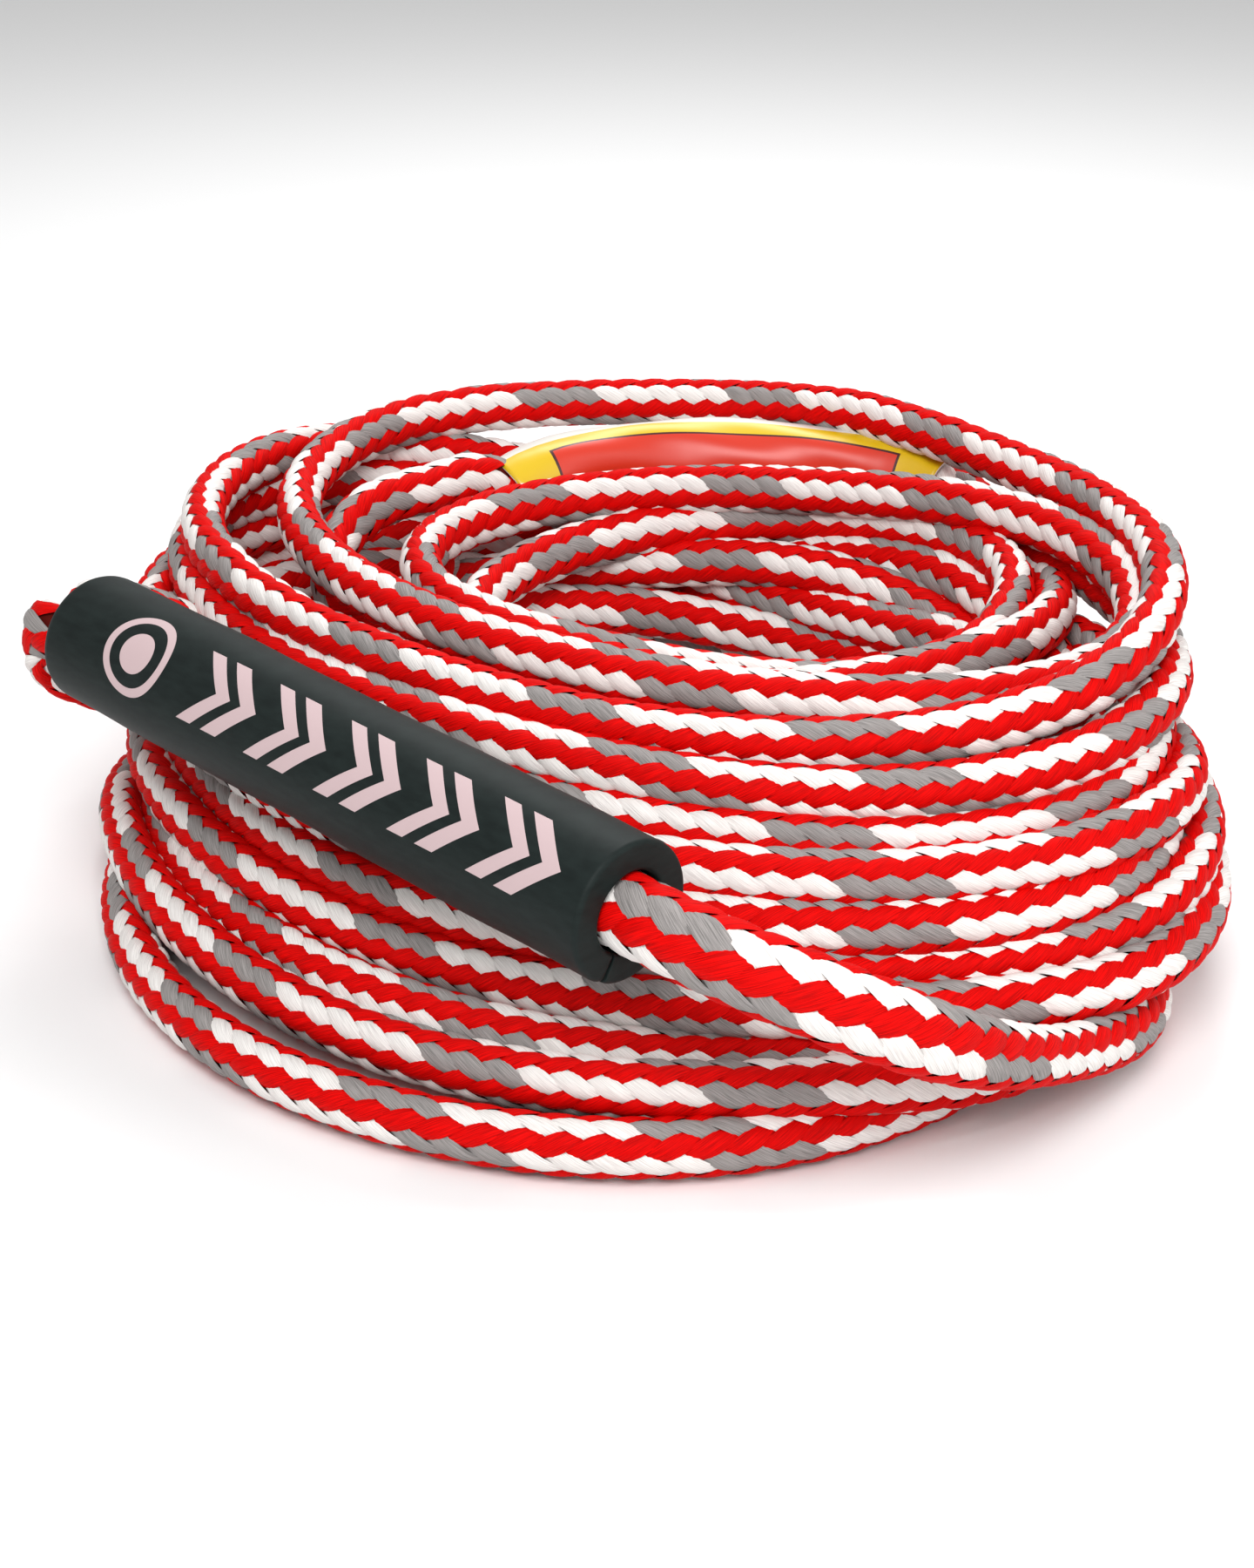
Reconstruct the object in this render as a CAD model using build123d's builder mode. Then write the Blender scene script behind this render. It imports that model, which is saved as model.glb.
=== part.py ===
"""Tube tow rope with a foam float, coiled for storage.

One hollow braided rope is wound clockwise (seen from above) into a loose oval coil. Its boat
end is a spliced eye inside the coil, with a printed vinyl sleeve over the splice. Its tube end
leaves the coil low on the right, climbs over the front of the turns, passes through a slit foam
float and closes in a small eye. Millimetres, +Z up, floor at z = 0, and the origin in the middle
of the footprint. Positions below are in the coil's own plan frame, moved by coil_x and coil_y.
"""
import os
from math import radians, tan

from build123d import *

# ---- driving dimensions -------------------------------------------------------------------
rope_d = 14.0            # hollow braid, 5/8 inch class, as it measures relaxed
splice_d = 19.0          # the same braid with its own tail buried inside
tail_d = 12.0            # the buried tail, squeezed by the braid around it
leg_gap = 1.0            # space between the two legs of an eye where they leave the throat

float_d = 38.5
float_length = 221.0
float_bore_d = 22.0
float_slit = 1.2         # the float is slit along its length to go over the rope
float_slit_angle = 241.0
float_edge = 1.6
bed_gap = 1.0            # free space that the turns leave around the float

sleeve_d = 26.0
print_gap = 0.2          # space that the turns leave around the sleeve and the loose ends

coil_x = 1.13            # from the coil's plan frame to the middle of the footprint
coil_y = 22.55

# The coil is stacked from closed oval rings, each one turn of rope high. Height, then centre x,
# centre y, half length, half width and turn (degrees) of its outer and inner outline there: a
# round base, and longer ovals that lean back as they rise.
ring_height = 14.25
rings_per_layer = 2
layer_names = ["coil_turns_bottom", "coil_turns_lower", "coil_turns_upper", "coil_turns_top"]
levels = [0.0, 30.0, 60.0, 86.0, 114.0]
outer = [
    (1, -3, 176, 174, -32),
    (2, 0, 184, 156, -32),
    (8, 8, 180, 130, -32),
    (20, 26, 158, 112, -32),
    (28, 26, 150, 106, -32),
]
inner = [
    (3, 0, 104, 86, -30),
    (5, 2, 102, 84, -30),
    (16, 12, 96, 72, -30),
    (30, 18, 104, 66, -30),
    (42, 20, 112, 64, -30),
]

# ---- routes, in the coil's plan frame -----------------------------------------------------
# Boat end: the splice's centreline from the throat of the eye to the first free turn.
boat_splice = [
    (-52, 110, 86), (-30, 126, 89), (0, 136, 91), (34, 139, 91),
    (68, 136, 89), (98, 126, 86), (116, 112, 83),
]
boat_eye = [
    (-84, 86, 92), (-95, 67, 85), (-96, 48, 76),
    (-86, 35, 69), (-72, 38, 65), (-66, 54, 65), (-64, 73, 68),
]
# Tube end: from the coil's side up to the float's right-hand end.
lead = [
    (146, -76, 9), (147, -104, 11), (134, -133, 17), (113, -160, 27), (90, -186, 42),
    (68, -202, 58), (43, -206, 71),
]
float_left = (-156.0, -26.0, 90.0)
float_right = (1.0, -181.0, 79.5)
throat_out = 5.0         # the splice's throat stands this far out of the float
straight_out = 24.0      # straight stretch of splice beyond the float's right-hand end
tube_eye = [
    (-160, 5, 86), (-149, 15, 81), (-134, 14, 75), (-127, 4, 69),
    (-135, -5, 65), (-150, -7, 65), (-163, -9, 69), (-173, -14, 78),
]
leg_straight = 12.0      # each leg of an eye leaves its throat straight for this far


def placed(point):
    """A point of the coil's plan frame, in the part's frame."""
    x, y, z = point
    return Vector(x + coil_x, y + coil_y, z)


def midway(a, b):
    """The point halfway along a run, which always lies on its straight middle."""
    return (Vector(a) + Vector(b)) / 2


def bend_radii(points):
    """As large an arc at each corner as its two runs allow."""
    radii = []
    for before, corner, after in zip(points, points[1:], points[2:]):
        turn = (corner - before).get_angle(after - corner)
        run = min((corner - before).length, (after - corner).length)
        radii.append(0.45 * run / tan(radians(turn) / 2))
    return radii


def report_route(name, points, length, volume, section):
    """Prints the route's radii, and its volume beside section times length."""
    radii = [round(r) for r in bend_radii(points)]
    print(f"{name}: length {length:.0f} mm, radii {radii}, volume {volume:.0f} of {section * length:.0f}")


def end_plane(points):
    """The plane of a tube's section at the start of its route."""
    return Plane(origin=points[0], z_dir=points[1] - points[0])


def eye_route(throat, outward, spread, corners):
    """The loop of an eye: its two legs stand apart along spread, straight out of the throat."""
    leg_offset = spread * (rope_d + leg_gap) / 2
    first = throat + leg_offset
    last = throat - leg_offset
    straight = outward * leg_straight
    return [first, first + straight] + corners + [last + straight, last]


def outline_at(outlines, height):
    """The oval at a height, between the two listed outlines around it."""
    k = max(i for i in range(len(levels) - 1) if levels[i] <= height)
    share = (height - levels[k]) / (levels[k + 1] - levels[k])
    return [a + share * (b - a) for a, b in zip(outlines[k], outlines[k + 1])]


# ---- routes in the part's frame -------------------------------------------------------------
left_end = placed(float_left)
right_end = placed(float_right)
float_axis = (right_end - left_end).normalized()
throat = left_end - float_axis * throat_out

boat_splice_route = [placed(p) for p in boat_splice]
boat_outward = (boat_splice_route[0] - boat_splice_route[1]).normalized()
boat_spread = boat_outward.cross(Vector(0, 0, 1)).normalized().cross(boat_outward)
boat_eye_route = eye_route(
    boat_splice_route[0], boat_outward, boat_spread, [placed(p) for p in boat_eye]
)
tube_spread = Vector(0, 0, 1).cross(float_axis).normalized()
tube_eye_route = eye_route(throat, float_axis * -1, tube_spread, [placed(p) for p in tube_eye])
whole_lead = [placed(p) for p in lead] + [right_end + float_axis * straight_out, throat]
splice_start = midway(whole_lead[-4], whole_lead[-3])
lead_route = whole_lead[:-3] + [splice_start]
tube_splice_route = [splice_start] + whole_lead[-3:]
sleeve_route = (
    [midway(boat_splice_route[0], boat_splice_route[1])]
    + boat_splice_route[1:-1]
    + [midway(boat_splice_route[-2], boat_splice_route[-1])]
)

# ---- rope stretches that lie free -----------------------------------------------------------
with BuildPart() as rope_lead:
    with BuildLine():
        path = FilletPolyline(*lead_route, radius=bend_radii(lead_route))
    with BuildSketch(end_plane(lead_route)) as section:
        Circle(rope_d / 2)
    sweep()
report_route("rope_lead", lead_route, path.length, rope_lead.part.volume, section.sketch.area)

with BuildPart() as tube_end_eye:
    with BuildLine():
        path = FilletPolyline(*tube_eye_route, radius=bend_radii(tube_eye_route))
    with BuildSketch(end_plane(tube_eye_route)) as section:
        Circle(rope_d / 2)
    sweep()
report_route("tube_end_eye", tube_eye_route, path.length, tube_end_eye.part.volume, section.sketch.area)

with BuildPart() as boat_end_eye:
    with BuildLine():
        path = FilletPolyline(*boat_eye_route, radius=bend_radii(boat_eye_route))
    with BuildSketch(end_plane(boat_eye_route)) as section:
        Circle(rope_d / 2)
    sweep()
report_route("boat_end_eye", boat_eye_route, path.length, boat_end_eye.part.volume, section.sketch.area)

# ---- splices: the opened braid, and the rope's own tail buried inside it --------------------
with BuildPart() as tube_end_splice:
    with BuildLine():
        path = FilletPolyline(*tube_splice_route, radius=bend_radii(tube_splice_route))
    with BuildSketch(end_plane(tube_splice_route)) as section:
        Circle(splice_d / 2)
        Circle(tail_d / 2, mode=Mode.SUBTRACT)
    sweep()
report_route("tube_end_splice", tube_splice_route, path.length, tube_end_splice.part.volume,
             section.sketch.area)

with BuildPart() as tube_end_tail:
    with BuildLine():
        path = FilletPolyline(*tube_splice_route, radius=bend_radii(tube_splice_route))
    with BuildSketch(end_plane(tube_splice_route)):
        Circle(tail_d / 2)
    sweep()

with BuildPart() as boat_end_splice:
    with BuildLine():
        path = FilletPolyline(*boat_splice_route, radius=bend_radii(boat_splice_route))
    with BuildSketch(end_plane(boat_splice_route)) as section:
        Circle(splice_d / 2)
        Circle(tail_d / 2, mode=Mode.SUBTRACT)
    sweep()
report_route("boat_end_splice", boat_splice_route, path.length, boat_end_splice.part.volume,
             section.sketch.area)

with BuildPart() as boat_end_tail:
    with BuildLine():
        path = FilletPolyline(*boat_splice_route, radius=bend_radii(boat_splice_route))
    with BuildSketch(end_plane(boat_splice_route)):
        Circle(tail_d / 2)
    sweep()

# ---- printed vinyl sleeve over the boat-end splice ------------------------------------------
sleeve_radii = bend_radii(boat_splice_route)
with BuildPart() as printed_sleeve:
    with BuildLine():
        FilletPolyline(*sleeve_route, radius=sleeve_radii)
    with BuildSketch(end_plane(sleeve_route)):
        Circle(sleeve_d / 2)
        Circle(splice_d / 2, mode=Mode.SUBTRACT)
    sweep()

# ---- foam float -----------------------------------------------------------------------------
float_plane = Plane(
    origin=left_end, x_dir=Vector(-float_axis.Y, float_axis.X, 0), z_dir=float_axis
)
with BuildPart() as foam_float:
    with BuildSketch(float_plane):
        Circle(float_d / 2)
    extrude(amount=float_length)
    fillet(foam_float.edges().filter_by(GeomType.CIRCLE), radius=float_edge)
    with BuildSketch(float_plane):
        Circle(float_bore_d / 2)
        with PolarLocations(float_d / 4, 1, start_angle=float_slit_angle):
            Rectangle(float_d / 2, float_slit)
    extrude(amount=float_length, mode=Mode.SUBTRACT)

# ---- the coil, as closed rings of turns -----------------------------------------------------
os.makedirs("parts", exist_ok=True)
for layer_number, name in enumerate(layer_names):
    with BuildPart() as layer:
        for ring in range(layer_number * rings_per_layer, (layer_number + 1) * rings_per_layer):
            foot = ring * ring_height
            with BuildSketch(Plane.XY.offset(foot)):
                for outlines, mode in ((outer, Mode.ADD), (inner, Mode.SUBTRACT)):
                    x, y, half_length, half_width, turn = outline_at(outlines, foot + ring_height / 2)
                    with Locations((x + coil_x, y + coil_y)):
                        Ellipse(half_length, half_width, rotation=turn, mode=mode)
            extrude(amount=ring_height)
        # The turns part around the float, the sleeve and the loose ends.
        with BuildSketch(float_plane.offset(-throat_out)):
            Circle(float_d / 2 + bed_gap)
        extrude(amount=float_length + 2 * throat_out, mode=Mode.SUBTRACT)
        for route, radii, width in (
            (lead_route, bend_radii(lead_route), rope_d),
            (boat_eye_route, bend_radii(boat_eye_route), rope_d),
            (tube_eye_route, bend_radii(tube_eye_route), rope_d),
            (boat_splice_route, bend_radii(boat_splice_route), sleeve_d),
        ):
            layer_foot = layer_number * rings_per_layer * ring_height
            layer_top = layer_foot + rings_per_layer * ring_height
            heights = [point.Z for point in route]
            if max(heights) + width / 2 < layer_foot or min(heights) - width / 2 > layer_top:
                continue
            with BuildLine():
                FilletPolyline(*route, radius=radii)
            with BuildSketch(end_plane(route)):
                Circle(width / 2 + print_gap)
            sweep(mode=Mode.SUBTRACT)
    layer.part.label = name
    export_step(layer.part, f"parts/{name}.step")
    print(name, len(layer.part.solids()), round(layer.part.volume), layer.part.is_valid)

# ---- write the rest -------------------------------------------------------------------------
rope_lead.part.label = "rope_lead"
export_step(rope_lead.part, "parts/rope_lead.step")
tube_end_eye.part.label = "tube_end_eye"
export_step(tube_end_eye.part, "parts/tube_end_eye.step")
boat_end_eye.part.label = "boat_end_eye"
export_step(boat_end_eye.part, "parts/boat_end_eye.step")
tube_end_splice.part.label = "tube_end_splice"
export_step(tube_end_splice.part, "parts/tube_end_splice.step")
tube_end_tail.part.label = "tube_end_tail"
export_step(tube_end_tail.part, "parts/tube_end_tail.step")
boat_end_splice.part.label = "boat_end_splice"
export_step(boat_end_splice.part, "parts/boat_end_splice.step")
boat_end_tail.part.label = "boat_end_tail"
export_step(boat_end_tail.part, "parts/boat_end_tail.step")
printed_sleeve.part.label = "printed_sleeve"
export_step(printed_sleeve.part, "parts/printed_sleeve.step")
foam_float.part.label = "foam_float"
export_step(foam_float.part, "parts/foam_float.step")
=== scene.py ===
"""The looks of a coiled tube tow rope: one line of braid from eye to eye, a printed sleeve over
the boat-end splice and a slit foam float on the tube-end splice."""
from math import cos, pi, radians, sin

import bmesh
import bpy
import numpy as np
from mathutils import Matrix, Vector


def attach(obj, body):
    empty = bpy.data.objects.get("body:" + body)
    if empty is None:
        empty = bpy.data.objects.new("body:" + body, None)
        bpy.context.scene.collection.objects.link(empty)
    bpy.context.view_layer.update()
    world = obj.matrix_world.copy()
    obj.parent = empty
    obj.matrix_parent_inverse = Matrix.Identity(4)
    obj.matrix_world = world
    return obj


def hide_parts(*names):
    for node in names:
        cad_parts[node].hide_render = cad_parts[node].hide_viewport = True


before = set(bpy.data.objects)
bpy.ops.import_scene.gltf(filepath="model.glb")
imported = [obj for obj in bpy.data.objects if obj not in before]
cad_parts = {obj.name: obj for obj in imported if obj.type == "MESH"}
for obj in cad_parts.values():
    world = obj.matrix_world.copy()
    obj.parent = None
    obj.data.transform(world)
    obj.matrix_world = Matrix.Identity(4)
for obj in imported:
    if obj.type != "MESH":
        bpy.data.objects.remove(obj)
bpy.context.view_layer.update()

MM = 0.001
scene = bpy.context.scene

# ---- camera: low in front of the coil, looking along +Y ---------------------------------------
COIL_X = 1.13            # from the coil's plan frame to the part's frame, as in the part's source
COIL_Y = 22.55
LOOK_AT_Z = 29.8
CAMERA_DISTANCE = 860.0
CAMERA_ELEVATION = radians(25.0)
CAMERA_LENS = 63.6
SENSOR_WIDTH = 36.0

camera_data = bpy.data.cameras.new("camera")
camera_data.lens = CAMERA_LENS
camera_data.sensor_width = SENSOR_WIDTH
camera = bpy.data.objects.new("camera", camera_data)
scene.collection.objects.link(camera)
look_at = Vector((COIL_X, COIL_Y, LOOK_AT_Z)) * MM
backwards = Vector((0, -cos(CAMERA_ELEVATION), sin(CAMERA_ELEVATION)))
camera.location = look_at + backwards * CAMERA_DISTANCE * MM
camera.rotation_euler = (radians(90) - CAMERA_ELEVATION, 0, 0)
scene.camera = camera

# ---- the rope's measures, in millimetres --------------------------------------------------------
ROPE_R = 7.0
TOUCH_R = 6.4            # turns that press on each other lie this much closer
FLOOR_Z = 9.6            # lowest place of the centreline: the braid bulges a little past ROPE_R
SPLICE_R = 9.5
SLEEVE_R = 13.0
FLOAT_R = 19.25
FLOAT_BORE_R = 11.0
NODE_STEP = 7.0          # spacing of the coil's points while it settles
POINT_STEP = 2           # every second one becomes a control point of the rope's spline

# Listed points of the stretches that aren't coiled, as in the part's source.
BOAT_SPLICE = [
    (-52, 110, 86), (-30, 126, 89), (0, 136, 91), (34, 139, 91),
    (68, 136, 89), (98, 126, 86), (116, 112, 83),
]
BOAT_EYE = [
    (-84, 86, 92), (-95, 67, 85), (-96, 48, 76),
    (-86, 35, 69), (-72, 38, 65), (-66, 54, 65), (-64, 73, 68),
]
LEAD = [
    (146, -76, 9), (147, -104, 11), (134, -133, 17), (113, -160, 27), (90, -186, 42),
    (68, -202, 58), (43, -206, 71),
]
TUBE_EYE = [
    (-160, 5, 86), (-149, 15, 81), (-134, 14, 75), (-127, 4, 69),
    (-135, -5, 65), (-150, -7, 65), (-163, -9, 69), (-173, -14, 78),
]
FLOAT_LEFT = np.array([-156.0, -26.0, 90.0])
FLOAT_RIGHT = np.array([1.0, -181.0, 79.5])
STRAIGHT_OUT = 24.0      # straight rope past the float's right end
STRAIGHT_IN = 10.0       # and inside that end
THROAT_OUT = 5.0         # from the float's left end to the tube-end throat
TAIL_IN = 14.0           # how far inside its splice each end of the rope starts
LEG_STRAIGHT = 12.0      # straight part of an eye's legs
LEG_OFFSET = ROPE_R + 0.5
float_length = float(np.linalg.norm(FLOAT_RIGHT - FLOAT_LEFT))
float_axis = (FLOAT_RIGHT - FLOAT_LEFT) / float_length


def unit(vector):
    """The same direction, with length one."""
    return np.array(vector, float) / np.linalg.norm(vector)


def unit_rows(vectors):
    """The same directions, row by row, each with length one."""
    return vectors / np.linalg.norm(vectors, axis=1)[:, None]


def eye_points(throat, outward, spread, corners):
    """The loop of an eye, whose two legs leave the throat side by side."""
    near_leg = throat + spread * LEG_OFFSET
    far_leg = throat - spread * LEG_OFFSET
    straight = outward * LEG_STRAIGHT
    loop = [np.array(corner, float) for corner in corners]
    return [near_leg, near_leg + straight] + loop + [far_leg + straight, far_leg]


def distance_along(points):
    """How far along a line of points each of them lies."""
    return np.concatenate([[0], np.cumsum(np.linalg.norm(np.diff(points, axis=0), axis=1))])


def even(points, step):
    """Points at one spacing along a line of dense points."""
    s = distance_along(points)
    at = np.linspace(0, s[-1], int(round(s[-1] / step)) + 1)
    return np.column_stack([np.interp(at, s, points[:, i]) for i in range(3)])


def spline_line(points, step):
    """Evenly spaced points of the open NURBS curve with these control points, in the plan frame."""
    curve = bpy.data.curves.new("guide", "CURVE")
    curve.dimensions = "3D"
    spline = curve.splines.new("NURBS")
    spline.points.add(len(points) - 1)
    for slot, p in zip(spline.points, points):
        slot.co = ((p[0] + COIL_X) * MM, (p[1] + COIL_Y) * MM, p[2] * MM, 1.0)
    spline.order_u = 3
    spline.use_endpoint_u = True
    spline.resolution_u = 4
    guide = bpy.data.objects.new("guide", curve)
    scene.collection.objects.link(guide)
    bpy.context.view_layer.update()
    graph = bpy.context.evaluated_depsgraph_get()
    mesh = bpy.data.meshes.new_from_object(guide.evaluated_get(graph))
    dense = np.array([v.co for v in mesh.vertices]) / MM - (COIL_X, COIL_Y, 0)
    bpy.data.meshes.remove(mesh)
    bpy.data.objects.remove(guide)
    return even(dense, step)


def nearest(points, place):
    """Index of the point of a line that is nearest to a place."""
    return int(np.argmin(np.linalg.norm(points - np.array(place, float), axis=1)))


boat_throat = np.array(BOAT_SPLICE[0], float)
boat_outward = unit(boat_throat - BOAT_SPLICE[1])
boat_spread = np.cross(unit(np.cross(boat_outward, (0, 0, 1))), boat_outward)
facing = unit(np.cross(float_axis, (0, 0, 1)))     # across the float, towards the camera
above = np.cross(facing, float_axis)
tube_throat = FLOAT_LEFT - float_axis * THROAT_OUT
# The tail's hidden end starts inside each splice; the leg then comes out at the throat.
boat_points = (
    [boat_throat - boat_outward * TAIL_IN]
    + eye_points(boat_throat, boat_outward, boat_spread, BOAT_EYE)
    + [np.array(p, float) for p in BOAT_SPLICE[1:]]
)
tube_points = (
    [np.array(p, float) for p in LEAD]
    + [FLOAT_RIGHT + float_axis * STRAIGHT_OUT, FLOAT_RIGHT - float_axis * STRAIGHT_IN]
    + [(FLOAT_LEFT + FLOAT_RIGHT) / 2, FLOAT_LEFT + float_axis * TAIL_IN]
    + eye_points(tube_throat, -float_axis, -facing, TUBE_EYE)
    + [tube_throat + float_axis * TAIL_IN]
)

# ---- the coil: loose turns, wound clockwise seen from above -----------------------------------
# State of each turn: centre x, centre y, half width, half depth, slant (how much nearer its right
# end lies than its centre) and height; then when it eases into the next, in turns after its own
# start. The lower turns change over round the back and the right, so that they lie side by side
# in front. The coil ends in the last state, so that makes two turns fewer than there are states.
TOP_TURNS = [
    (30, 36, 104, 86, 8, 84, 0.45, 0.95),
    (38, 34, 88, 70, 6, 77, 0.4, 0.95),
    (43, 21, 117, 78, 24, 91, 0.3, 0.62),
    (25, 43, 132, 120, 41, 99, 0.3, 0.6),
]
LOWER_TURNS = [
    (9, 26, 147, 119, 48, 90),
    (6, 18, 151, 119, 54, 81),
    (5, 14, 153, 122, 58, 73),
    (22, 14, 114, 82, 36, 66),
    (5, 6, 156, 123, 61, 64),
    (24, 16, 100, 72, 26, 58),
    (6, 3, 157, 128, 60, 55),
    (18, 8, 122, 92, 38, 50),
    (7, 1, 158, 134, 56, 46),
    (8, 2, 142, 116, 46, 41),
    (7, -1, 158, 141, 50, 37),
    (4, 0, 142, 128, 38, 30),
    (5, -3, 158, 149, 42, 28),
    (4, 1, 128, 120, 28, 26),
    (2, -5, 156, 157, 27, 19),
    (2, 0, 132, 128, 12, 10),
    (1, -2, 144, 144, 14, 12),
    (1, -10, 154, 168, 4, 9),
    (0, -6, 152, 150, 0, 9),
]
CHANGE_OVER = (0.0, 0.42)
TURNS = TOP_TURNS + [turn + CHANGE_OVER for turn in LOWER_TURNS]
TURN_START = 130.0       # degrees
COIL_START = 20.0        # where the coil leaves the boat-end splice
COIL_END = -10.0         # where it becomes the lead
DENSE = 140              # points per turn before they are spaced evenly
WOBBLE = ((2, 2.6), (3, 2.2), (5, 0.8))   # waves per turn, and their size
TILT = 3.0               # how far a turn's sides rise and sink


def ramp(s, low, high):
    """0 before low, 1 after high, easing between."""
    t = np.clip((s - low) / (high - low), 0, 1)
    return t * t * (3 - 2 * t)


def wound_coil():
    """The turns as they are thrown down, before they settle."""
    random = np.random.default_rng(3)
    first = (TURN_START - COIL_START) / 360
    last = len(TURNS) - 2 + (TURN_START - COIL_END) / 360
    t = np.linspace(first, last, int((last - first) * DENSE))
    angle = radians(TURN_START) - 2 * pi * t
    states = np.array([turn[:6] for turn in TURNS], float)
    phases = random.uniform(0, 2 * pi, (len(states), 4))
    sizes = random.uniform(0.3, 1.0, (len(states), 4))
    everything = np.hstack([states, phases, sizes])
    state = np.repeat(everything[:1], len(t), axis=0)
    for k, turn in enumerate(TURNS[:-1]):
        change = everything[k + 1] - everything[k]
        state += change * ramp(t, k + turn[6], k + turn[7])[:, None]
    x, y, half_width, half_depth, slant, height = state[:, :6].T
    phase, size = state[:, 6:10], state[:, 10:]
    wobble = sum(
        most * size[:, j] * np.sin(waves * angle + phase[:, j])
        for j, (waves, most) in enumerate(WOBBLE)
    )
    tilt = TILT * size[:, 3] * np.sin(angle + phase[:, 3])
    return np.column_stack([
        x + (half_width + wobble) * np.cos(angle),
        y + (half_depth + wobble) * np.sin(angle) - slant * np.cos(angle),
        np.maximum(height + tilt, FLOOR_Z),
    ])


# ---- how the coil settles ---------------------------------------------------------------------
ROUNDS = 200
SEARCH_EVERY = 8         # rounds between two searches for points that may touch
SEARCH_REACH = 1.45      # how far a search looks, in touching distances
SELF_GAP = 5             # points this near each other along the rope don't push
HOMEWARD = 0.02          # share of the way to its own place that a point goes back, in plan
HOMEWARD_UP = 0.012      # and in height
SINK = 0.05              # how far it sinks each round
CALM_FROM = 0.7          # share of the rounds after which these three weaken
CALM = 0.3               # to this share of what they were
EVENING = ((1, 0.4), (4, 0.3))    # steps between the points that show a bend, and the share taken out
PUSH = 1.2               # how much of an overlap is undone at once
PULL = 0.4               # share of a stretch that each of two neighbours takes back
FLOAT_AIR = 0.5          # between the float and the turns
TINY = 1e-9              # keeps a divisor above zero


def near_pairs(p, radius, loose):
    """Pairs of points that may soon touch, at least one of them loose."""
    q = p.astype(np.float32)
    gram = q @ q.T
    apart = np.diag(gram)[:, None] + np.diag(gram)[None] - 2 * gram
    reach = (radius[:, None] + radius[None]) * SEARCH_REACH
    first, second = np.nonzero(apart < reach**2)
    keep = (second - first > SELF_GAP) & (loose[first] | loose[second])
    return first[keep], second[keep]


def even_bends(p, free):
    """Takes a share out of every bend between free points."""
    for one, share in EVENING:
        two, three, four = 2 * one, 3 * one, 4 * one
        bend = p[:-four] - 4 * p[one:-three] + 6 * p[two:-two] - 4 * p[three:-one] + p[four:]
        held = free[:-four] * free[two:-two] * free[four:]
        p[two:-two] -= bend / 16 * share * held[:, None]


def push_apart(p, radius, free, first, second):
    """Moves points that overlap away from each other."""
    gap = radius[first] + radius[second]
    between_them = p[second] - p[first]
    far = np.linalg.norm(between_them, axis=1) + TINY
    hit = far < gap
    a, b = first[hit], second[hit]
    push = between_them[hit] * ((gap[hit] - far[hit]) / far[hit] * 0.5)[:, None]
    weight = np.maximum(free[a] + free[b], TINY)
    move = np.zeros_like(p)
    touches = np.zeros(len(p))
    np.add.at(move, a, -push * (2 * free[a] / weight)[:, None])
    np.add.at(move, b, push * (2 * free[b] / weight)[:, None])
    np.add.at(touches, a, 1)
    np.add.at(touches, b, 1)
    p += move / np.maximum(touches, 1)[:, None] * free[:, None] * PUSH


def clear_of_float(p, radius, loose):
    """Moves loose points out of the float."""
    along = np.clip((p - FLOAT_LEFT) @ float_axis, 0, float_length)
    near = FLOAT_LEFT + along[:, None] * float_axis
    away = p - near
    far = np.linalg.norm(away, axis=1) + TINY
    clear = FLOAT_R + FLOAT_AIR + radius
    hit = (far < clear) & loose
    p[hit] = near[hit] + away[hit] / far[hit, None] * clear[hit, None]


def keep_length(p, rest, chained, free):
    """Draws neighbours back to their own distance."""
    run = np.diff(p, axis=0)
    far = np.linalg.norm(run, axis=1)
    pull = run * ((far - rest) / far * PULL * chained)[:, None]
    p[:-1] += pull * free[:-1, None]
    p[1:] -= pull * free[1:, None]


def settle(p, radius, loose):
    """Lets the loose points sink and push each other apart, while each keeps near its own place."""
    home = p.copy()
    rest = np.linalg.norm(np.diff(p, axis=0), axis=1)
    chained = rest < 2 * NODE_STEP
    rest[chained] = rest[chained].mean()
    free = loose.astype(float)
    for number in range(ROUNDS):
        if number % SEARCH_EVERY == 0:
            first, second = near_pairs(p, radius, loose)
        calm = 1.0 if number < ROUNDS * CALM_FROM else CALM
        p[:, :2] += (home[:, :2] - p[:, :2]) * HOMEWARD * calm * free[:, None]
        p[:, 2] += ((home[:, 2] - p[:, 2]) * HOMEWARD_UP - SINK) * calm * free
        for _ in range(2):
            even_bends(p, free)
        for _ in range(3):
            push_apart(p, radius, free, first, second)
            clear_of_float(p, radius, loose)
            p[:, 2] = np.where(loose, np.maximum(p[:, 2], FLOOR_Z), p[:, 2])
            keep_length(p, rest, chained, free)


TUBE_EYE_ROPE = 150.0    # rope at the tube end that lies in its eye

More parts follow.
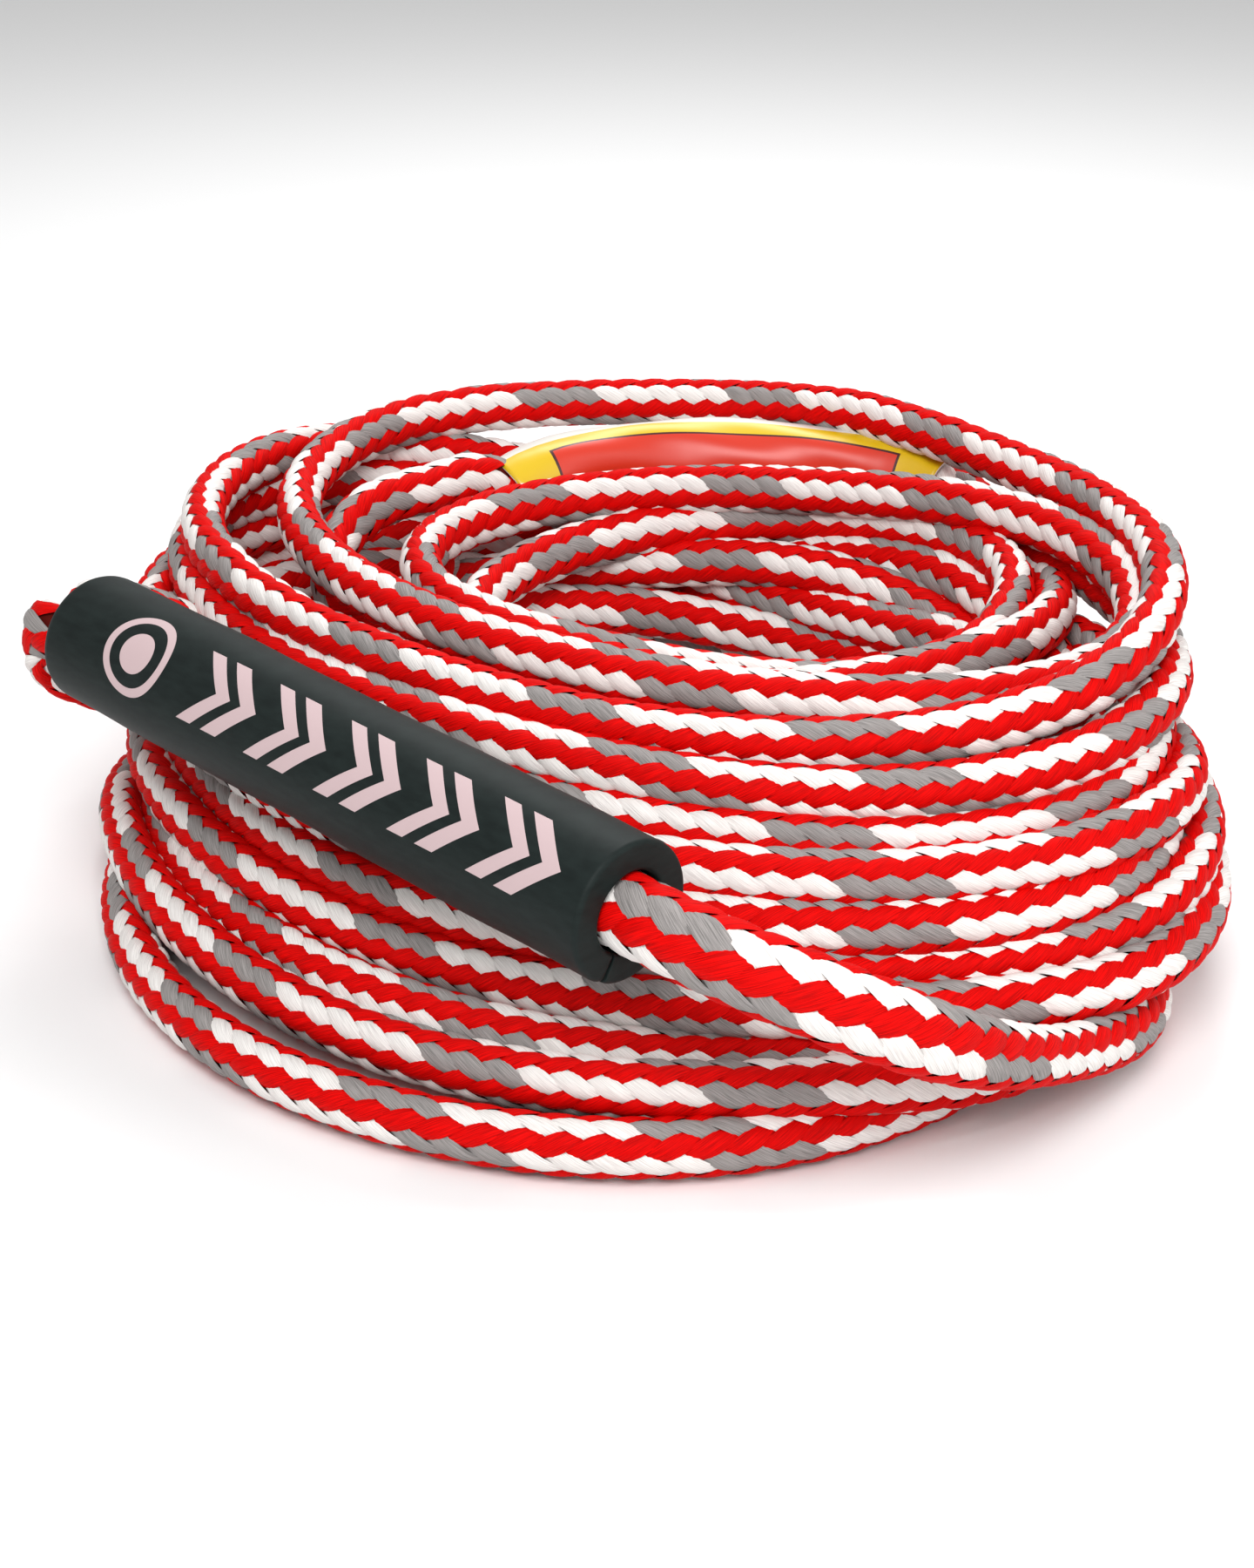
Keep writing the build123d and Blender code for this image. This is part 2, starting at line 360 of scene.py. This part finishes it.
boat_line = spline_line(boat_points, NODE_STEP)
tube_line = spline_line(tube_points, NODE_STEP)
thrown = even(np.vstack([boat_line[-1:], wound_coil(), tube_line[:1]]), NODE_STEP)[1:-1]
chain = np.vstack([boat_line, thrown, tube_line])
coil_first, coil_last = len(boat_line), len(boat_line) + len(thrown)
loose = np.zeros(len(chain), bool)
loose[coil_first:coil_last] = True
half_boat, half_tube = len(boat_line) // 2, len(tube_line) // 2
sleeve_from = half_boat + nearest(boat_line[half_boat:], BOAT_SPLICE[1]) - 1
splice_from = coil_last + nearest(tube_line[:half_tube], LEAD[-2])
radius = np.full(len(chain), TOUCH_R)
radius[sleeve_from:coil_first - 2] = SLEEVE_R
radius[splice_from:] = SPLICE_R
radius[-int(TUBE_EYE_ROPE / NODE_STEP):] = TOUCH_R
settle(chain, radius, loose)
coil_points = list(chain[coil_first:coil_last:POINT_STEP])
line = spline_line(boat_points + coil_points + tube_points, NODE_STEP / 2)

# ---- frames along the rope ----------------------------------------------------------------------
SMOOTH_SPAN = 13
SMOOTHING = np.hanning(SMOOTH_SPAN) / np.hanning(SMOOTH_SPAN).sum()


def smoothed(values):
    """A running average along the rope, column by column."""
    reach = SMOOTH_SPAN // 2
    padded = np.pad(values.reshape(len(values), -1), ((reach, reach), (0, 0)), mode="edge")
    columns = [np.convolve(padded[:, i], SMOOTHING, mode="valid") for i in range(padded.shape[1])]
    return np.column_stack(columns).reshape(values.shape)


tangent = unit_rows(np.gradient(line, axis=0))
side = smoothed(unit_rows(np.cross(tangent, (0, 0, 1))))
side = unit_rows(side - tangent * (side * tangent).sum(1)[:, None])
upward = np.cross(side, tangent)
station = distance_along(line)
curvature = smoothed(np.linalg.norm(np.gradient(tangent, axis=0), axis=1) / np.gradient(station))


def station_of(place, first=0.0, last=1.0):
    """How far along the rope it passes nearest to a place, within a share of its length."""
    a, b = int(first * len(line)), int(last * len(line))
    return station[a + nearest(line[a:b], place)]


END_SHARE = 0.05                 # both ends' splices lie within this share of the rope
BOAT_EYE_SHARE = 0.008           # it passes the boat-end throat a first time within this share
TUBE_EYE_SHARE = END_SHARE / 6   # and the tube-end throat a last time, from its other end
splice_a = station_of(BOAT_SPLICE[0], BOAT_EYE_SHARE, END_SHARE)
splice_b = station_of(BOAT_SPLICE[-1], BOAT_EYE_SHARE, END_SHARE)
splice_c = station_of((np.array(LEAD[-2]) + LEAD[-3]) / 2, 1 - END_SHARE)
splice_d = station_of(tube_throat, 1 - END_SHARE, 1 - TUBE_EYE_SHARE)

# ---- the braid's section: round where it is stuffed with its tail, flatter in tight bends --------
FLAT_LEAST = 0.05
FLAT_MOST = 0.22
FLAT_FROM = 0.004        # curvature, per millimetre, from which it flattens more
FLAT_GAIN = 7.0
FLAT_UP = 0.9            # how much it grows upward for what it loses sideways
STRANDS_OUT = 1.02       # how far out the strands' places lie, in radii


def stuffed_within(first, last, swelling, easing):
    """1 inside a splice, easing to 0 between two distances before and after each of its ends."""
    swollen = ramp(station, first - swelling[0], first + swelling[1])
    return swollen * (1 - ramp(station, last - easing[0], last + easing[1]))


stuffed = stuffed_within(splice_a, splice_b, swelling=(6, 10), easing=(10, 50))
stuffed += stuffed_within(splice_c, splice_d, swelling=(50, 20), easing=(8, 8))
flat = np.clip(FLAT_LEAST + FLAT_GAIN * (curvature - FLAT_FROM), FLAT_LEAST, FLAT_MOST)
flat *= 1 - stuffed
size = ROPE_R + (SPLICE_R - ROPE_R) * stuffed
half_side = size * (1 - flat) * STRANDS_OUT
half_up = size * (1 + FLAT_UP * flat) * STRANDS_OUT

# ---- the braid: eight strands each way, over two and under two -----------------------------------
LAY = 76.0               # one turn of a strand
LAY_IN_SPLICE = 0.12     # how much longer it is where the braid is stuffed
LAY_WAVES = ((0.05, 61, 0), (0.04, 23.7, 1))
TWIST_WAVES = ((0.9, 410, 0), (0.5, 173, 2))
WAYS = 16                # crossings counted round the rope
ALONG = 8                # points along the visible length of a strand between its dives
ACROSS = 5
GREY_STRANDS = 3         # of the eight that cross the red ones; the others are white
RED, WHITE, GREY, SHADE_CORE = range(4)

# One visible float of a strand: lengths and widths in crossings, heights in millimetres.
STRAND_LONG = 1.45       # half length
STRAND_WIDE = 0.58       # half width
STRAND_ROUND = 0.64      # half width of the ellipse that its section follows
STRAND_RISE = 1.15       # height of that ellipse
STRAND_SUNK = 0.95       # how deep its edges lie
DIVE_FROM = 0.3          # where it starts to dive under the next strand
DIVE_LONG = 1.1
DIVE_DEEP = 0.60
TAPER = 0.22             # how much narrower its ends are
UNEVEN = 0.07            # how much the floats differ in height
FIBRE_SCALE = 4.6        # of the map that the filaments follow
FIBRE_LEAN = 0.37
FIBRE_SPREAD = 500       # how far apart the floats' maps may start
CORE_SIDES = 12
CORE_SUNK = 1.0


def waves(parts):
    """Slow unevenness along the rope, from each wave's size, length and start."""
    return sum(most * np.sin(station / length + start) for most, length, start in parts)


lay = LAY * (1 + waves(LAY_WAVES)) * (1 + LAY_IN_SPLICE * stuffed)
crossing = np.concatenate([[0], np.cumsum(WAYS / ((lay[1:] + lay[:-1]) / 2) * np.diff(station))])
twist = waves(TWIST_WAVES)


def on_rope(s, angle, proud):
    """Places on the rope's surface, raised by proud, in metres in the part's frame."""
    s = np.clip(s, 0, station[-1])
    spot = np.column_stack([np.interp(s, station, line[:, i]) for i in range(3)])
    a = np.column_stack([np.interp(s, station, side[:, i]) for i in range(3)])
    b = np.column_stack([np.interp(s, station, upward[:, i]) for i in range(3)])
    wide = np.interp(s, station, half_side) + proud
    tall = np.interp(s, station, half_up) + proud
    spot += a * (wide * np.cos(angle))[:, None] + b * (tall * np.sin(angle))[:, None]
    return (spot + (COIL_X, COIL_Y, 0)) * MM


def grid_faces(rows, columns, closed):
    """Quads between neighbouring rows of points, with each row closed into a ring or left open."""
    a = np.arange(columns if closed else columns - 1)
    b = (a + 1) % columns
    row = np.arange(rows - 1)[:, None] * columns
    quads = [row + a, row + b, row + columns + b, row + columns + a]
    return np.stack(quads, axis=-1).reshape(-1, 4)


def strand_tiles():
    """Every visible float of every strand as a small pillow, with its material and its own map."""
    random = np.random.default_rng(7)
    x = np.linspace(-STRAND_LONG, STRAND_LONG, ALONG)
    y = np.linspace(-STRAND_WIDE, STRAND_WIDE, ACROSS)
    gx, gy = (g.ravel() for g in np.meshgrid(x, y, indexing="ij"))
    ridge = np.sqrt(1 - (gy / STRAND_ROUND) ** 2)
    dive = np.cos(pi * np.clip((np.abs(gx) - DIVE_FROM) / DIVE_LONG, 0, 1))
    height = STRAND_RISE * ridge - STRAND_SUNK + DIVE_DEEP * dive
    gy = gy * (1 - TAPER * (np.abs(gx) / STRAND_LONG) ** 2)
    steps = np.arange(2, int(crossing[-1]) - 2, 2)
    places, tints, maps = [], [], []
    for reds in (True, False):
        first_sum = 0 if reds else 2
        for turn in range(4):
            total = first_sum + 4 * turn
            p0 = (total - steps) / 2
            q0 = (total + steps) / 2
            if reds:      # strand p is fixed and q runs from q0
                p = p0[:, None] + gy
                q = q0[:, None] + 0.5 + gx
            else:         # strand q is fixed and p runs from p0
                p = p0[:, None] + 0.5 + gx
                q = q0[:, None] + gy
            s = np.interp((q - p).ravel(), crossing, station)
            angle = 2 * pi * (p + q).ravel() / WAYS + np.interp(s, station, twist)
            uneven = np.repeat(random.normal(0, UNEVEN, len(steps)), len(gx))
            places.append(on_rope(s, angle, np.tile(height, len(steps)) + uneven))
            strand = np.mod(q0, 8).astype(int)
            greys = np.where(strand < GREY_STRANDS, GREY, WHITE)
            tints.append(np.full(len(steps), RED) if reds else greys)
            start = random.uniform(0, FIBRE_SPREAD, len(steps))[:, None]
            maps.append(np.column_stack([
                (start + gx * FIBRE_SCALE).ravel(), (start * FIBRE_LEAN + gy * FIBRE_SCALE).ravel(),
            ]))
    corner = (np.arange(ALONG - 1)[:, None] * ACROSS + np.arange(ACROSS - 1)).ravel()
    quad = np.column_stack([corner, corner + ACROSS, corner + ACROSS + 1, corner + 1])
    tints = np.concatenate(tints)
    faces = (np.arange(len(tints))[:, None, None] * len(gx) + quad).reshape(-1, 4)
    flip = np.repeat(np.arange(len(tints)) < len(tints) // 2, len(quad))
    faces[flip] = faces[flip][:, ::-1]    # the reds come first, and would face inward
    return np.vstack(places), faces, np.repeat(tints, len(quad)), np.vstack(maps)


def shade_core_tube():
    """A dark inner tube that shows between strands; its near-black colour is painted shade."""
    angle = np.linspace(0, 2 * pi, CORE_SIDES, endpoint=False)
    s = np.repeat(station, CORE_SIDES)
    places = on_rope(s, np.tile(angle, len(station)), np.full(len(s), -CORE_SUNK))
    faces = grid_faces(len(station), CORE_SIDES, closed=True)
    return places, np.roll(faces, -1, axis=1)    # each quad named from its second corner


def bake_places(tile_faces, core_faces):
    """A cell of one square map for each pillow, and the last cell for the whole core."""
    pillow = ALONG * ACROSS
    margin = 0.12
    cells = int(np.ceil(np.sqrt(len(tile_faces) / ((ALONG - 1) * (ACROSS - 1)) + 1)))
    number, point = np.divmod(tile_faces.ravel(), pillow)
    within = np.column_stack([point // ACROSS / (ALONG - 1), point % ACROSS / (ACROSS - 1)])
    corners = np.column_stack([number % cells, number // cells]) + margin
    tiles = corners + (1 - 2 * margin) * within
    square = np.array([(0, 0), (1, 0), (1, 1), (0, 1)]) * (1 - 2 * margin) + margin + cells - 1
    return np.vstack([tiles, np.tile(square, (len(core_faces), 1))]) / cells


def mesh_piece(name, places, faces, tints, materials):
    """A mesh object of quads, each with a material."""
    mesh = bpy.data.meshes.new(name)
    mesh.vertices.add(len(places))
    mesh.vertices.foreach_set("co", places.astype(np.float32).ravel())
    mesh.loops.add(faces.size)
    mesh.loops.foreach_set("vertex_index", faces.astype(np.int32).ravel())
    mesh.polygons.add(len(faces))
    mesh.polygons.foreach_set("loop_start", np.arange(0, faces.size, 4, dtype=np.int32))
    mesh.polygons.foreach_set("material_index", tints.astype(np.int32))
    mesh.update(calc_edges=True)
    mesh.polygons.foreach_set("use_smooth", np.ones(len(faces), bool))
    for material in materials:
        mesh.materials.append(material)
    piece = bpy.data.objects.new(name, mesh)
    scene.collection.objects.link(piece)
    return piece


def plain_piece(name, places, faces, material):
    """A mesh object of quads in one material."""
    return mesh_piece(name, places, faces, np.zeros(len(faces), int), [material])


def add_map(piece, name, corner_places):
    """A UV map, from the place of every corner of every face."""
    layer = piece.data.uv_layers.new(name=name)
    layer.data.foreach_set("uv", corner_places.astype(np.float32).ravel())


# ---- materials --------------------------------------------------------------------------------
def principled(name, roughness, specular):
    """A material, its node tree and its Principled shader."""
    material = bpy.data.materials.new(name)
    material.use_nodes = True
    tree = material.node_tree
    shader = tree.nodes["Principled BSDF"]
    shader.inputs["Roughness"].default_value = roughness
    shader.inputs["Specular IOR Level"].default_value = specular
    return material, tree, shader


def link(tree, source, target):
    """Joins an output to an input."""
    tree.links.new(source, target)


def map_places(tree, map_name):
    """The output of a UV map."""
    node = tree.nodes.new("ShaderNodeUVMap")
    node.uv_map = map_name
    return node.outputs["UV"]


def map_axes(tree, map_name):
    """The two coordinates of a UV map."""
    node = tree.nodes.new("ShaderNodeSeparateXYZ")
    link(tree, map_places(tree, map_name), node.inputs[0])
    return node.outputs[0], node.outputs[1]


def noise(tree, scale, detail, places=None):
    """Noise from 0 to 1, over the piece's own box unless other places are given."""
    node = tree.nodes.new("ShaderNodeTexNoise")
    node.inputs["Scale"].default_value = scale
    node.inputs["Detail"].default_value = detail
    if places is not None:
        link(tree, places, node.inputs["Vector"])
    return node.outputs["Fac"]


def roughen(tree, shader, height, strength, distance):
    """Gives the shader's surface a fine relief."""
    node = tree.nodes.new("ShaderNodeBump")
    node.inputs["Strength"].default_value = strength
    node.inputs["Distance"].default_value = distance
    link(tree, height, node.inputs["Height"])
    link(tree, node.outputs["Normal"], shader.inputs["Normal"])


def colour_ramp(tree, factor, stops):
    """A ramp through (position, colour) stops."""
    node = tree.nodes.new("ShaderNodeValToRGB")
    link(tree, factor, node.inputs["Fac"])
    while len(node.color_ramp.elements) < len(stops):
        node.color_ramp.elements.new(0.5)
    for element, (position, colour) in zip(node.color_ramp.elements, stops):
        element.position = position
        element.color = (*colour, 1)
    return node.outputs["Color"]


def maths(tree, kind, a, b=0.0):
    """The result of one sum on two numbers or outputs."""
    node = tree.nodes.new("ShaderNodeMath")
    node.operation = kind
    for socket, value in zip(node.inputs, (a, b)):
        if isinstance(value, (int, float)):
            socket.default_value = value
        else:
            link(tree, value, socket)
    return node.outputs[0]


def times(tree, a, b):
    """One mask or number times another."""
    return maths(tree, "MULTIPLY", a, b)


def between(tree, value, low, high):
    """1 where a value lies between low and high, else 0."""
    return times(tree, maths(tree, "GREATER_THAN", value, low), maths(tree, "LESS_THAN", value, high))


def over(tree, under, colour, mask):
    """A colour laid over what is under it where the mask says."""
    node = tree.nodes.new("ShaderNodeMix")
    node.data_type = "RGBA"
    link(tree, mask, node.inputs["Factor"])
    if isinstance(under, tuple):
        node.inputs["A"].default_value = (*under, 1)
    else:
        link(tree, under, node.inputs["A"])
    node.inputs["B"].default_value = (*colour, 1)
    return node.outputs["Result"]


def fibre_material(name, dark, light, roughness):
    """Filaments that run along each strand: fine streaks in colour and in the surface."""
    material, tree, shader = principled(name, roughness, specular=0.06)
    stretch = tree.nodes.new("ShaderNodeMapping")
    stretch.inputs["Scale"].default_value = (0.10, 3.2, 1)
    link(tree, map_places(tree, "Strand"), stretch.inputs["Vector"])
    streak = noise(tree, scale=1.6, detail=3.0, places=stretch.outputs["Vector"])
    link(tree, colour_ramp(tree, streak, [(0.30, dark), (0.62, light)]), shader.inputs["Base Color"])
    roughen(tree, shader, streak, strength=0.55, distance=0.0004)
    return material


# ---- rope -------------------------------------------------------------------------------------
red_fibre = fibre_material("red_fibre", (0.34, 0.0008, 0.0005), (0.76, 0.0015, 0.001), roughness=0.6)
white_fibre = fibre_material("white_fibre", (0.60, 0.56, 0.54), (0.86, 0.83, 0.80), roughness=0.55)
grey_fibre = fibre_material("grey_fibre", (0.16, 0.15, 0.145), (0.34, 0.315, 0.305), roughness=0.5)
# Painted shade: the inner tube's near-black red stands in for the shade inside the hollow braid and in
# the gaps between its strands.
painted_shade_core = fibre_material("painted_shade_core", (0.05, 0.004, 0.003), (0.12, 0.008, 0.006), roughness=0.9)

tile_places, tile_faces, tile_tints, tile_maps = strand_tiles()
core_places, core_faces = shade_core_tube()
rope_faces = np.vstack([tile_faces, core_faces + len(tile_places)])
rope = mesh_piece(
    "rope",
    np.vstack([tile_places, core_places]),
    rope_faces,
    np.concatenate([tile_tints, np.full(len(core_faces), SHADE_CORE)]),
    [red_fibre, white_fibre, grey_fibre, painted_shade_core],
)
rope_maps = np.vstack([tile_maps, np.zeros((len(core_places), 2))])
add_map(rope, "Strand", rope_maps[rope_faces.ravel()])
add_map(rope, "OFBake", bake_places(tile_faces, core_faces))
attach(rope, "rope")
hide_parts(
    "coil_turns_bottom", "coil_turns_lower", "coil_turns_upper", "coil_turns_top", "rope_lead",
    "tube_end_splice", "tube_end_tail", "tube_end_eye",
    "boat_end_splice", "boat_end_tail", "boat_end_eye",
)

# ---- foam float -------------------------------------------------------------------------------
FLOAT_SLIT = radians(-61.0)      # from the side that faces the camera, upward positive
SLIT_HALF = 0.035                # half the slit's width, as an angle
LIP_ROUND = 0.05                 # how far round from the slit its lips are worn, as an angle
LIP_WORN = 0.5                   # and how deep
FLOAT_DENTS = ((0.16, 2, 17), (0.10, -3, 7.3))
SMOOTH_BORE = 3.0                # the wall has no dents this near its bore
FLOAT_STEPS = 145                # round the float, lip to lip
WORN_END_R = 4.2                 # the left end is worn round, the right end cut square
CUT_END_R = 1.5
INNER_END_R = 1.2

# The print, in millimetres along the float from its left end and round it from the print's middle.
PRINT_CENTRE = radians(41.0)     # round the float, as the slit's place is
RING_AT = 41.0
RING_RADII = (10.2, 12.8)
DOT_R = 6.2
CHEVRON_HALF = 11.0              # half height
CHEVRON_LEAN = 1.15
CHEVRON_PITCH = 29.25            # from pair to pair
CHEVRON_SHIFT = 10.75
CHEVRON_SPAN = (76.0, 212.0)
FIRST_BAR = 6.0
SECOND_BAR = (10.5, 17.0)
INK_COLOUR = (0.53, 0.40, 0.41)
FOAM_DARKER = (0.006, 0.010, 0.0095)
FOAM_LIGHTER = (0.010, 0.016, 0.015)


def ripples(parts, around, along):
    """Shallow unevenness over a tube, from each ripple's size, folds round it and length."""
    return sum(most * np.sin(folds * around + along / length) for most, folds, length in parts)


def rounded(z, r, end_r, start):
    """A quarter circle of the wall's cut outline, clockwise from an angle."""
    turn = start - np.linspace(0, pi / 2, 7)
    return [(z + end_r * cos(t), r + end_r * sin(t)) for t in turn]


def wall_profile():
    """(distance along, radius) round the wall's cut outline, outer side first."""
    middle = np.linspace(WORN_END_R, float_length - CUT_END_R, 41)
    outline = rounded(WORN_END_R, FLOAT_R - WORN_END_R, WORN_END_R, pi)
    outline += [(z, FLOAT_R) for z in middle[1:-1]]
    outline += rounded(float_length - CUT_END_R, FLOAT_R - CUT_END_R, CUT_END_R, pi / 2)
    outline += rounded(float_length - INNER_END_R, FLOAT_BORE_R + INNER_END_R, INNER_END_R, 0)
    outline += [(z, FLOAT_BORE_R) for z in middle[::-4]]
    outline += rounded(INNER_END_R, FLOAT_BORE_R + INNER_END_R, INNER_END_R, -pi / 2)
    return np.array(outline)


def float_mesh():
    """The wall swept round from one lip of the slit to the other."""
    z, r = wall_profile().T
    angle = np.linspace(FLOAT_SLIT + SLIT_HALF, FLOAT_SLIT + 2 * pi - SLIT_HALF, FLOAT_STEPS)
    zz = np.repeat(z[None], FLOAT_STEPS, axis=0)
    tt = np.repeat(angle[:, None], len(z), axis=1)
    from_lip = np.minimum(angle - angle[0], angle[-1] - angle)[:, None]
    dent = ripples(FLOAT_DENTS, tt, zz) - LIP_WORN * np.exp(-from_lip / LIP_ROUND)
    outer_side = (r > FLOAT_BORE_R + SMOOTH_BORE)[None]
    rr = np.repeat(r[None], FLOAT_STEPS, axis=0) + dent * outer_side
    outward = np.cos(tt)[..., None] * facing + np.sin(tt)[..., None] * above
    places = FLOAT_LEFT + zz[..., None] * float_axis + rr[..., None] * outward
    turned = (tt - PRINT_CENTRE + pi) % (2 * pi) - pi
    maps = np.column_stack([zz.ravel(), (turned * FLOAT_R).ravel()])
    faces = grid_faces(FLOAT_STEPS, len(z), closed=True)
    return (places.reshape(-1, 3) + (COIL_X, COIL_Y, 0)) * MM, faces, maps, len(z)


def foam_material():
    """Dark closed-cell foam with a skin, and a pale print of a ring and chevrons."""
    material, tree, shader = principled("foam", roughness=0.55, specular=0.14)
    along, across = map_axes(tree, "Around")
    # Five pairs of chevrons: bands of (along + leaning |across|) modulo their pitch.
    arm = maths(tree, "ADD", along, times(tree, maths(tree, "ABSOLUTE", across), CHEVRON_LEAN))
    phase = maths(tree, "MODULO", maths(tree, "ADD", arm, CHEVRON_SHIFT), CHEVRON_PITCH)
    first_bar = maths(tree, "LESS_THAN", phase, FIRST_BAR)
    bars = maths(tree, "ADD", first_bar, between(tree, phase, *SECOND_BAR))
    height = maths(tree, "LESS_THAN", maths(tree, "ABSOLUTE", across), CHEVRON_HALF)
    chevrons = times(tree, times(tree, bars, between(tree, arm, *CHEVRON_SPAN)), height)
    # A ring with a dot in it.
    dx = maths(tree, "SUBTRACT", along, RING_AT)
    far = maths(tree, "SQRT", maths(tree, "ADD", times(tree, dx, dx), times(tree, across, across)))
    ring = between(tree, far, *RING_RADII)
    dot = maths(tree, "LESS_THAN", far, DOT_R)
    marks = maths(tree, "ADD", maths(tree, "ADD", chevrons, ring), dot)
    ink = maths(tree, "MINIMUM", marks, 1.0)
    shade = noise(tree, scale=28.0, detail=3.0)
    skin = colour_ramp(tree, shade, [(0.3, FOAM_DARKER), (0.7, FOAM_LIGHTER)])
    link(tree, over(tree, skin, INK_COLOUR, ink), shader.inputs["Base Color"])
    roughen(tree, shader, noise(tree, scale=900.0, detail=2.0), strength=0.12, distance=0.0003)
    return material


float_places, float_faces, float_maps, ring_size = float_mesh()
foam = plain_piece("foam_float_skin", float_places, float_faces, foam_material())
add_map(foam, "Around", float_maps[float_faces.ravel()])
shell = bmesh.new()
shell.from_mesh(foam.data)
shell.verts.ensure_lookup_table()
for first in (0, (FLOAT_STEPS - 1) * ring_size):
    rim = [shell.verts[first + k] for k in range(ring_size)]
    shell.faces.new(rim if first else rim[::-1])
bmesh.ops.recalc_face_normals(shell, faces=shell.faces)
shell.to_mesh(foam.data)
shell.free()
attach(foam, "float")
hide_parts("foam_float")

# ---- printed sleeve -----------------------------------------------------------------------------
SLEEVE_RINGS = 90
SLEEVE_SIDES = 72
SLEEVE_WALL = 0.9
SLEEVE_IN = 0.6          # how far inside SLEEVE_R its creases are centred
CREASES = ((0.5, 2, 31), (0.35, 3, -13), (0.2, 5, 7))

# Where its colours lie: round it as shares of its girth, and from its ends in millimetres.
YELLOW_ROUND = (0.36, 0.74)
KEYLINE_ROUND = (0.375, 0.668)
KEYLINE_END = 16.0
PANEL_ROUND = (0.385, 0.658)
PANEL_END = 17.0
BACK_WHITE = (0.70, 0.69, 0.64)
YELLOW = (0.66, 0.45, 0.006)
KEYLINE_DARK = (0.06, 0.01, 0.01)
PANEL_RED = (0.60, 0.030, 0.010)

sleeve_a = station_of((np.array(BOAT_SPLICE[0]) + BOAT_SPLICE[1]) / 2, BOAT_EYE_SHARE, END_SHARE)
sleeve_b = station_of((np.array(BOAT_SPLICE[-2]) + BOAT_SPLICE[-1]) / 2, BOAT_EYE_SHARE, END_SHARE)


def sleeve_mesh():
    """A thin limp tube round the splice, open at both ends, with soft creases."""
    s = np.linspace(sleeve_a, sleeve_b, SLEEVE_RINGS)
    angle = np.linspace(-pi, pi, SLEEVE_SIDES)
    ss = np.repeat(s, SLEEVE_SIDES)
    aa = np.tile(angle, SLEEVE_RINGS)
    outer = SLEEVE_R - SLEEVE_IN + ripples(CREASES, aa, ss)
    rope_here = np.interp(ss, station, (half_side + half_up) / 2)
    layers = [on_rope(ss, aa, reach - rope_here) for reach in (outer, outer - SLEEVE_WALL)]
    skin = grid_faces(SLEEVE_RINGS, SLEEVE_SIDES, closed=False)
    total = SLEEVE_RINGS * SLEEVE_SIDES
    inner = skin[:, ::-1] + total
    a = np.arange(SLEEVE_SIDES - 1)
    b = a + 1
    ends = []
    for base, turned_over in ((0, False), (total - SLEEVE_SIDES, True)):
        lip = np.column_stack([base + a, base + a + total, base + b + total, base + b])
        ends.append(lip[:, ::-1] if turned_over else lip)
    maps = np.column_stack([ss - sleeve_a, aa / (2 * pi) + 0.5])
    return np.vstack(layers), np.vstack([skin, inner] + ends), np.vstack([maps, maps + (0, 2)])


def vinyl_material():
    """Yellow vinyl with a red panel inside a dark keyline, white round the back."""
    material, tree, shader = principled("vinyl", roughness=0.35, specular=0.5)
    along, round_it = map_axes(tree, "Around")
    length = float(sleeve_b - sleeve_a)

    def box(end, round_span):
        """1 inside a box that stops short of the sleeve's ends."""
        return times(tree, between(tree, along, end, length - end), between(tree, round_it, *round_span))

    printed = over(tree, BACK_WHITE, YELLOW, between(tree, round_it, *YELLOW_ROUND))
    printed = over(tree, printed, KEYLINE_DARK, box(KEYLINE_END, KEYLINE_ROUND))
    printed = over(tree, printed, PANEL_RED, box(PANEL_END, PANEL_ROUND))
    link(tree, printed, shader.inputs["Base Color"])
    return material


sleeve_places, sleeve_faces, sleeve_maps = sleeve_mesh()
sleeve = plain_piece("sleeve", sleeve_places, sleeve_faces, vinyl_material())
add_map(sleeve, "Around", sleeve_maps[sleeve_faces.ravel()])
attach(sleeve, "rope")
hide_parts("printed_sleeve")

# ---- floor, light -------------------------------------------------------------------------------
FLOOR_HALF = 30.0        # metres
PALE = 0.86
SKY = 0.56

floor_material, _, floor_shader = principled("floor", roughness=0.9, specular=0.2)
floor_shader.inputs["Base Color"].default_value = (PALE, PALE, PALE, 1)
floor_places = np.array([(-1, -1, 0), (1, -1, 0), (1, 1, 0), (-1, 1, 0)]) * FLOOR_HALF
floor = plain_piece("floor", floor_places, np.array([(0, 1, 2, 3)]), floor_material)
scene.view_settings.view_transform = "Standard"

world = bpy.data.worlds.new("studio")
world.use_nodes = True
world.node_tree.nodes["Background"].inputs["Color"].default_value = (1, 1, 1, 1)
world.node_tree.nodes["Background"].inputs["Strength"].default_value = SKY
scene.world = world


def soft_light(name, place, size, watts):
    """A large square lamp aimed at the middle of the coil."""
    lamp = bpy.data.lights.new(name, "AREA")
    lamp.shape = "SQUARE"
    lamp.size = size
    lamp.energy = watts
    holder = bpy.data.objects.new(name, lamp)
    scene.collection.objects.link(holder)
    holder.location = Vector(place)
    aim = look_at - holder.location
    holder.rotation_euler = aim.to_track_quat("-Z", "Y").to_euler()


soft_light("key", place=(-0.05, -0.9, 1.0), size=0.6, watts=12.3)
soft_light("fill", place=(1.0, -0.5, 0.7), size=0.8, watts=4)
soft_light("back", place=(0.1, 0.8, 1.0), size=0.6, watts=8)
